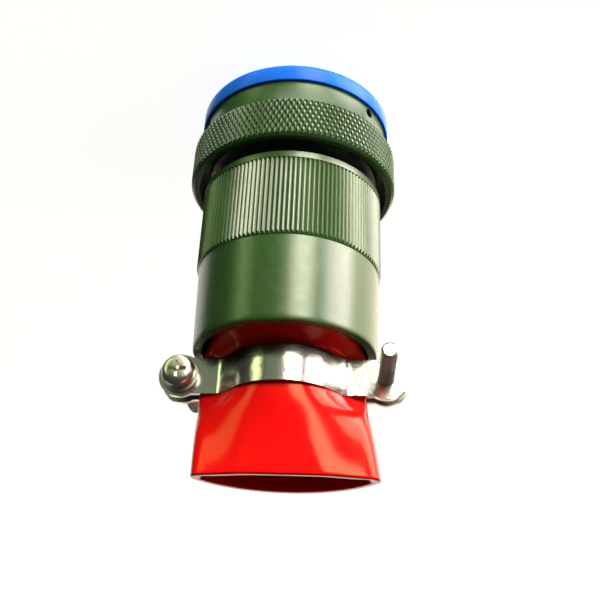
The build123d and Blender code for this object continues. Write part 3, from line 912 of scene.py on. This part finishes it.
def end_ring(sleeve, inset):
    """Place a ring's points on the open end's section: flat above, one round belly below."""
    sizes = (sleeve.half_width, sleeve.end_top, sleeve.end_bottom)
    side, top, bottom = (size / MM - inset / MM for size in sizes)
    corner = 3.2 - inset / MM / 2
    facets = (0.84, 0.73, 0.6, 0.45)
    facet_from = 0.42
    facet = math.tan(math.radians(12.0))
    upper = [
        (side, 3.0),
        (side, top - 1.8 * corner),
        (side - 0.05 * corner, top - 1.3 * corner),
        (side - 0.35 * corner, top - 0.8 * corner),
        *((share * side, top - max(0.0, share - facet_from) * side * facet) for share in facets),
        (0.33 * side, top),
        (0.18 * side, top),
        (0.0, top),
    ]
    depth = bottom + upper[0][1]
    radius = (side**2 + depth**2) / (2 * depth)
    half = math.asin(min(1.0, side / radius))
    spans = len(upper) - 1
    turns = [half * (1.0 - step / spans) for step in range(spans + 1)]
    lower = [(radius * math.sin(turn), bottom - radius * (1.0 - math.cos(turn))) for turn in turns]
    return full_ring(upper, lower)


class CONNECTOR_OT_sleeve(bpy.types.Operator):
    """Loft the rubber sleeve from its round flange to its flattened end"""

    bl_idname = "connector.sleeve"
    bl_label = "Cable sleeve"

    def execute(self, context):
        sleeve = context.scene.connector_sleeve
        clamp = context.scene.connector_clamp
        front, rear, wall = sleeve.front, sleeve.rear, sleeve.wall
        margin = 0.25 * MM
        grip_front = clamp.height - clamp.ear_radius - margin
        grip_rear = clamp.height + clamp.ear_radius + margin
        seat = front + 3.5 * MM
        round_to = seat + 7.0 * MM
        halfway = 0.5 * (round_to + grip_front)
        flange, outer, inner = map(round_ring, (sleeve.flange, sleeve.radius, sleeve.radius - wall))
        grip, mouth, grip_hollow = (full_ring(half, half) for half in (GRIP, MOUTH, GRIP_HOLLOW))
        end = end_ring(sleeve, 0.0)
        end_hollow = end_ring(sleeve, wall)
        # A height and an offset from it in mm, then two rings and the share of the second one
        rows = (
            (front, 0.0, inner, outer, 0.1),
            (front, 0.0, outer, flange, 0.9),
            (front, 0.25, flange, flange, 0.0),
            (seat, -0.25, flange, flange, 0.0),
            (seat, 0.0, outer, flange, 0.9),
            (seat, 0.0, outer, flange, 0.1),
            (seat, 0.25, outer, outer, 0.0),
            (round_to, -2.0, outer, outer, 0.0),
            (round_to, 0.0, outer, grip, 0.06),
            (halfway, 0.0, outer, grip, 0.5),
            (grip_front, 0.0, outer, grip, 0.96),
            (grip_front, 1.5, grip, grip, 0.0),
            (grip_rear, -1.5, grip, grip, 0.0),
            (grip_rear, 0.0, grip, mouth, 0.25),
            (grip_rear, 1.6, grip, mouth, 0.65),
            (grip_rear, 3.6, mouth, end, 0.08),
            (grip_rear, 7.0, mouth, end, 0.4),
            (rear, -7.0, grip, end, 0.8),
            (rear, -1.2, grip, end, 0.97),
            (rear, -0.2, end, end, 0.0),
            (rear, 0.0, end, end_hollow, 0.12),
            (rear, 0.0, end, end_hollow, 0.88),
            (rear, -0.2, end_hollow, end_hollow, 0.0),
            (rear, -1.2, end_hollow, grip_hollow, 0.05),
            (rear, -8.0, end_hollow, grip_hollow, 0.4),
            (grip_rear, 0.0, end_hollow, grip_hollow, 0.98),
            (grip_front, 0.0, grip_hollow, grip_hollow, 0.0),
            (halfway, 0.0, inner, grip_hollow, 0.5),
            (round_to, 0.0, inner, inner, 0.0),
            (front, 0.25, inner, inner, 0.0),
        )
        stations = [(base + offset * MM, mix(one, other, share)) for base, offset, one, other, share in rows]
        bm = bmesh.new()
        first = [bm.verts.new((x, y, stations[0][0])) for x, y in stations[0][1]]
        ring = [bm.edges.new(pair) for pair in zip(first, first[1:] + first[:1])]
        index = {vert: number for number, vert in enumerate(first)}
        for height, section in stations[1:] + stations[:1]:
            grown = bmesh.ops.extrude_edge_only(bm, edges=ring)["geom"]
            moved = only_verts(grown)
            ring = [item for item in grown if isinstance(item, bmesh.types.BMEdge)]
            ring = [edge for edge in ring if all(vert in moved for vert in edge.verts)]
            sources = [[edge.other_vert(vert) for edge in vert.link_edges] for vert in moved]
            index = {
                vert: index[next(source for source in linked if source in index)]
                for vert, linked in zip(moved, sources)
            }
            lean = sleeve.lean * max(0.0, (height - grip_rear) / (rear - grip_rear))
            for vert, number in index.items():
                vert.co = (section[number].x - lean, section[number].y, height)
        bmesh.ops.remove_doubles(bm, verts=bm.verts, dist=WELD)
        piece = as_solid(bm, "sleeve_rubber")
        smooth = piece.modifiers.new("smooth", "SUBSURF")
        smooth.levels = smooth.render_levels = 2
        finish_piece(piece, "plug_body", "red_rubber", "cable_sleeve", 180)
        return {"FINISHED"}


TOOL_LENGTH = 40.0 * MM


def strap_curve(clamp, inset):
    """List the points of the hump's curve, drawn in by the inset, from +X to -X."""
    slope = math.radians(52.0)
    centre = clamp.top - clamp.hump
    fold_height = clamp.ear + clamp.fold
    rise = fold_height - centre
    fold_x = (clamp.hump + clamp.fold - rise * math.cos(slope)) / math.sin(slope)
    half = [(clamp.reach, clamp.ear - inset), (0.5 * (clamp.reach + fold_x), clamp.ear - inset)]
    bend = clamp.fold + inset
    for step in range(9):
        turn = slope * step / 8
        half.append((fold_x - bend * math.sin(turn), fold_height - bend * math.cos(turn)))
    arch = clamp.hump - inset
    for step in range(13):
        turn = slope * (1.0 - step / 12)
        half.append((arch * math.sin(turn), centre + arch * math.cos(turn)))
    return half + [(-x, height) for x, height in reversed(half[:-1])]


def strap_sheet(clamp, name):
    """Fill the sheet's closed curve, draw it out along the axis and crease the hump."""
    bm = bmesh.new()
    outer = strap_curve(clamp, 0.0)
    inner = strap_curve(clamp, clamp.sheet)
    front = clamp.height - clamp.ear_radius
    points = outer + inner[::-1]
    verts = [bm.verts.new((x, -height, front)) for x, height in points]
    edges = [bm.edges.new(pair) for pair in zip(verts, verts[1:] + verts[:1])]
    half = len(outer)
    for index in range(1, half - 1):
        edges.append(bm.edges.new((verts[index], verts[len(points) - 1 - index])))
    bmesh.ops.edgenet_fill(bm, edges=edges)
    spans = 8
    slack = 0.001 * MM
    step = 2 * clamp.ear_radius / spans
    for span in range(spans):
        level = front + span * step
        shape = [face for face in bm.faces if all(abs(vert.co.z - level) < slack for vert in face.verts)]
        grown = bmesh.ops.extrude_face_region(bm, geom=shape)["geom"]
        bmesh.ops.translate(bm, verts=only_verts(grown), vec=(0, 0, step))
        if span:
            bmesh.ops.delete(bm, geom=shape, context="FACES_ONLY")
    flank = clamp.ear + 1.5 * MM
    for vert in bm.verts:
        height = -vert.co.y
        over = (height - flank) / (clamp.top - flank)
        if over > 0.0:
            across = abs(vert.co.z - clamp.height) / (0.5 * clamp.band)
            vert.co.y += clamp.crown * min(1.0, 3.0 * over) * min(1.0, across)
    return as_solid(bm, name)


def strap_punch(clamp):
    """Shape the punch that leaves the band and the two round ears."""
    reach = clamp.reach - clamp.ear_radius
    bm = bmesh.new()
    add_box(bm, 2 * reach, TOOL_LENGTH, clamp.band)
    shift_mesh(bm, 0, 0, clamp.height)
    tool = as_object(bm, "punch")
    for side in (-1, 1):
        combine(tool, cross_disc(clamp, side * reach, clamp.ear_radius, 64), "UNION")
    return tool


def cross_disc(clamp, place, radius, segments):
    """Make a cylinder that stands across the clamp."""
    bm = bmesh.new()
    add_rod(bm, radius, TOOL_LENGTH, segments)
    turn_mesh(bm, 90, "X")
    shift_mesh(bm, place, 0, clamp.height)
    return as_object(bm, "disc")


class CONNECTOR_OT_straps(bpy.types.Operator):
    """Fold the two polished straps of the clamp"""

    bl_idname = "connector.straps"
    bl_label = "Clamp straps"

    def execute(self, context):
        clamp = context.scene.connector_clamp
        fastener = context.scene.connector_fastener
        tapped_radius = 2.03 * MM
        clear_radius = 2.2 * MM
        for name, node, body, side in (
            ("strap_upper", "upper_saddle", "upper_clamp", -1),
            ("strap_lower", "lower_saddle", "plug_body", 1),
        ):
            piece = strap_sheet(clamp, name)
            combine(piece, strap_punch(clamp), "INTERSECT")
            for place in (-1, 1):
                radius = tapped_radius if place == side else clear_radius
                combine(piece, cross_disc(clamp, place * fastener.place, radius, 40), "DIFFERENCE")
            if side > 0:
                piece.data.transform(Matrix.Diagonal((1.0, -1.0, 1.0, 1.0)))
                piece.data.flip_normals()
            add_bevel(piece, 0.22 * MM, 3, math.radians(50))
            finish_piece(piece, body, "polished_steel", node, 30)
        return {"FINISHED"}


def make_screw(fastener, name):
    """Turn the pan head, roll the thread and press the cross recess, head up and seat at zero."""
    top = fastener.head_height
    radius = fastener.head_radius
    neck = fastener.root - 0.1 * MM
    overlap = 0.4 * MM
    dome_widths = (1.0, 0.985, 0.93, 0.82, 0.64, 0.4, 0.0)
    dome_heights = (0.42, 0.58, 0.74, 0.88, 0.965, 0.995, 1.0)
    head = bmesh.new()
    profile = [
        (0.0, -overlap),
        (neck, -overlap),
        (neck, 0.0),
        (radius - 0.15 * MM, 0.0),
        (radius, 0.15 * MM),
        *((radius * width, top * height) for width, height in zip(dome_widths, dome_heights)),
    ]
    spin_profile(head, profile, 64, closed=False)
    piece = as_object(head, name)
    combine(piece, driver_point(top), "DIFFERENCE")
    combine(piece, roll_thread(fastener), "UNION")
    return piece


def driver_point(top):
    """Make the cross-shaped driver point: two tapered blades on a cone."""
    tool = None
    blade_sink = 0.7 * MM
    cone_sink = 0.9 * MM
    for turn in (0.0, 90.0):
        bm = bmesh.new()
        add_box(bm, 4.8 * MM, 1.05 * MM, 2.0 * MM)
        for vert in bm.verts:
            if vert.co.z < 0:
                vert.co.x *= 0.5
                vert.co.y *= 0.75
        turn_mesh(bm, turn, "Z")
        shift_mesh(bm, 0, 0, top - blade_sink)
        blade = as_object(bm, "blade")
        if tool:
            combine(tool, blade, "UNION")
        else:
            tool = blade
    bm = bmesh.new()
    add_rod(bm, 0.3 * MM, 2.4 * MM, 24, end_radius=1.35 * MM)
    shift_mesh(bm, 0, 0, top - cone_sink)
    combine(tool, as_object(bm, "cone"), "UNION")
    return tool


def roll_thread(fastener):
    """Roll one continuous thread down the shank."""
    steps = 24
    pitch = fastener.pitch
    turns = math.ceil(fastener.shank / pitch) + 2
    bm = bmesh.new()
    root, crest = fastener.root, fastener.crest
    section = ((root, 0.0), (root, 0.12), (crest, 0.48), (crest, 0.6), (root, 1.0))
    tip = -fastener.shank
    under_head = -0.2 * MM
    low = tip - pitch
    verts = [bm.verts.new((radius, 0.0, low + share * pitch)) for radius, share in section]
    edges = [bm.edges.new(pair) for pair in zip(verts, verts[1:])]
    sweep(bm, verts + edges, math.tau * turns, steps * turns, climb=pitch / steps)
    bmesh.ops.remove_doubles(bm, verts=bm.verts, dist=0.002 * MM)
    for height, side in ((tip, -1), (under_head, 1)):
        plane = {"plane_co": (0, 0, height), "plane_no": (0, 0, side)}
        bmesh.ops.bisect_plane(bm, geom=everything(bm), clear_outer=True, dist=1e-7, **plane)
        border = [edge for edge in bm.edges if edge.is_boundary]
        rim = [edge for edge in border if abs(edge.verts[0].co.z - height) < WELD]
        bmesh.ops.contextual_create(bm, geom=rim)
    point = 0.6 * MM
    taper = 0.55 * MM
    for vert in bm.verts:
        over = (tip + point - vert.co.z) / point
        if over > 0.0:
            limit = crest - taper * over
            radius = vert.co.to_2d().length
            if radius > limit:
                vert.co.x *= limit / radius
                vert.co.y *= limit / radius
    return as_solid(bm, "thread")


def make_flat_washer(name):
    """Turn the flat washer."""
    bm = bmesh.new()
    low, high = -1.8 * MM, -1.0 * MM
    inner, outer = 2.1 * MM, 4.5 * MM
    spin_profile(bm, [(inner, low), (outer, low), (outer, high), (inner, high)], 64)
    round_edges(bm, sharp_edges(bm, math.radians(60)), 0.12 * MM, 3)
    return as_object(bm, name)


def make_lock_washer(name):
    """Coil the split washer, its ends cut on a slant."""
    bm = bmesh.new()
    low, high = -1.0 * MM, 0.0
    inner, outer = 2.1 * MM, 3.6 * MM
    edge = 0.12 * MM
    gap = math.radians(14)
    widths = (inner, inner + edge, outer - edge, outer, outer, outer - edge, inner + edge, inner)
    heights = (low + edge, low, low, low + edge, high - edge, high, high, high - edge)
    corners = [bm.verts.new((radius, 0.0, height)) for radius, height in zip(widths, heights)]
    face = bm.faces.new(corners)
    sweep(bm, [face] + list(face.edges) + corners, math.tau - gap, 60)
    near = math.radians(1)
    for vert in bm.verts:
        turn = math.atan2(vert.co.y, vert.co.x)
        if abs(turn) < near or abs(turn + gap) < near:
            slant = Matrix.Rotation((vert.co.z + 0.5 * MM) / MM * gap, 3, "Z")
            vert.co = slant @ vert.co
    turn_mesh(bm, 40, "Z")
    return as_solid(bm, name)


class CONNECTOR_OT_fasteners(bpy.types.Operator):
    """Make the threaded screws and their washers"""

    bl_idname = "connector.fasteners"
    bl_label = "Screws and washers"

    def execute(self, context):
        clamp = context.scene.connector_clamp
        fastener = context.scene.connector_fastener
        for hand, side in (("left", -1), ("right", 1)):
            body = f"{hand}_fastener"
            turn = Matrix.Rotation(math.radians(-90 * side), 4, "X")
            place = Matrix.Translation((-side * fastener.place, side * fastener.seat, clamp.height)) @ turn
            for piece, node, smooth in (
                (make_screw(fastener, f"screw_{hand}"), "screw", 32),
                (make_lock_washer(f"lock_washer_{hand}"), "lock_washer", 40),
                (make_flat_washer(f"flat_washer_{hand}"), "flat_washer", 40),
            ):
                piece.data.transform(place)
                finish_piece(piece, body, "screw_steel", f"{hand}_{node}", smooth)
        return {"FINISHED"}


class CONNECTOR_PT_pieces(bpy.types.Panel):
    """The connector's pieces"""

    bl_label = "Circular connector"
    bl_idname = "CONNECTOR_PT_pieces"
    bl_space_type = "VIEW_3D"
    bl_region_type = "UI"
    bl_category = "Connector"

    def draw(self, context):
        for operator in operators:
            self.layout.operator(operator.bl_idname)
        for name in property_groups:
            settings = getattr(context.scene, name)
            box = self.layout.box()
            for key in settings.__annotations__:
                box.prop(settings, key)


property_groups = {
    "connector_stage": StageProperties,
    "connector_colours": ConnectorColours,
    "connector_nut": NutProperties,
    "connector_backshell": BackshellProperties,
    "connector_cap": CapProperties,
    "connector_sleeve": SleeveProperties,
    "connector_clamp": ClampProperties,
    "connector_fastener": FastenerProperties,
}
operators = (
    CONNECTOR_OT_stage,
    CONNECTOR_OT_finishes,
    CONNECTOR_OT_coupling_nut,
    CONNECTOR_OT_backshell,
    CONNECTOR_OT_dust_cap,
    CONNECTOR_OT_sleeve,
    CONNECTOR_OT_straps,
    CONNECTOR_OT_fasteners,
)


def register():
    """Register the classes and the settings."""
    for item in (*property_groups.values(), *operators, CONNECTOR_PT_pieces):
        bpy.utils.register_class(item)
    for name, group in property_groups.items():
        setattr(bpy.types.Scene, name, PointerProperty(type=group))


def unregister():
    """Remove the settings and the classes."""
    for name in property_groups:
        delattr(bpy.types.Scene, name)
    for item in (CONNECTOR_PT_pieces, *reversed(operators), *property_groups.values()):
        bpy.utils.unregister_class(item)


def main():
    """Build the stage and every piece."""
    register()
    bpy.ops.connector.stage()
    bpy.ops.connector.finishes()
    bpy.ops.connector.coupling_nut()
    bpy.ops.connector.backshell()
    bpy.ops.connector.dust_cap()
    bpy.ops.connector.sleeve()
    bpy.ops.connector.straps()
    bpy.ops.connector.fasteners()


if __name__ == "__main__":
    main()
